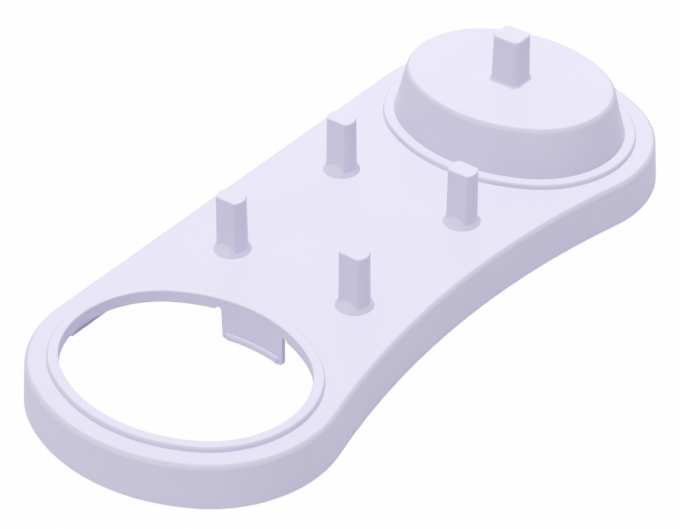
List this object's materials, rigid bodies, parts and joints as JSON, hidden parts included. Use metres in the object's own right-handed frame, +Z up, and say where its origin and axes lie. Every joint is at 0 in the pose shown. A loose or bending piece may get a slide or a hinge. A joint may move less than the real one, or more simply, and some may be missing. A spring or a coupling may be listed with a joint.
{
  "type": "electric toothbrush holder",
  "caption": "Low bathroom tray with an oval opening for a toothbrush charger, small pegs for brush heads and a raised plinth with a peg for the handle.",
  "frame": {"origin": "middle of the bounding box, on the surface that the holder stands on", "axes": "+X along the tray from the charger opening to the handle plinth, +Y to the straight back edge, +Z up"},
  "size_m": [0.1872, 0.076, 0.0368],
  "materials": {
    "moulding": "satin moulded ABS, very pale lilac grey",
    "foot_rubber": "soft grey elastomer"
  },
  "bodies": {
    "tray": {"tray_shell": "moulding", "handle_plinth": "moulding", "handle_peg": "moulding", "brush_peg_front_left": "moulding", "brush_peg_front_right": "moulding", "brush_peg_back_left": "moulding", "brush_peg_back_right": "moulding", "foot_front_left": "foot_rubber", "foot_front_right": "foot_rubber", "foot_back_left": "foot_rubber", "foot_back_right": "foot_rubber"},
    "charger_clip_inner": {"charger_clip_inner": "moulding"},
    "charger_clip_outer": {"charger_clip_outer": "moulding"},
    "plinth_clip_inner": {"plinth_clip_inner": "moulding"},
    "plinth_clip_outer": {"plinth_clip_outer": "moulding"}
  },
  "joints": [
    {"name": "charger_clip_inner_flex", "type": "hinge", "parent": "tray", "child": "charger_clip_inner", "pos_m": [-0.03655, 0, 0.0095], "axis": [0, -1, 0], "range_deg": [0, 5], "stiffness_Nm_per_rad": 0.2},
    {"name": "charger_clip_outer_flex", "type": "hinge", "parent": "tray", "child": "charger_clip_outer", "pos_m": [-0.08645, 0, 0.0095], "axis": [0, 1, 0], "range_deg": [0, 5], "stiffness_Nm_per_rad": 0.2},
    {"name": "plinth_clip_inner_flex", "type": "hinge", "parent": "tray", "child": "plinth_clip_inner", "pos_m": [0.03655, 0, 0.0095], "axis": [0, 1, 0], "range_deg": [0, 5], "stiffness_Nm_per_rad": 0.2},
    {"name": "plinth_clip_outer_flex", "type": "hinge", "parent": "tray", "child": "plinth_clip_outer", "pos_m": [0.08645, 0, 0.0095], "axis": [0, -1, 0], "range_deg": [0, 5], "stiffness_Nm_per_rad": 0.2}
  ]
}
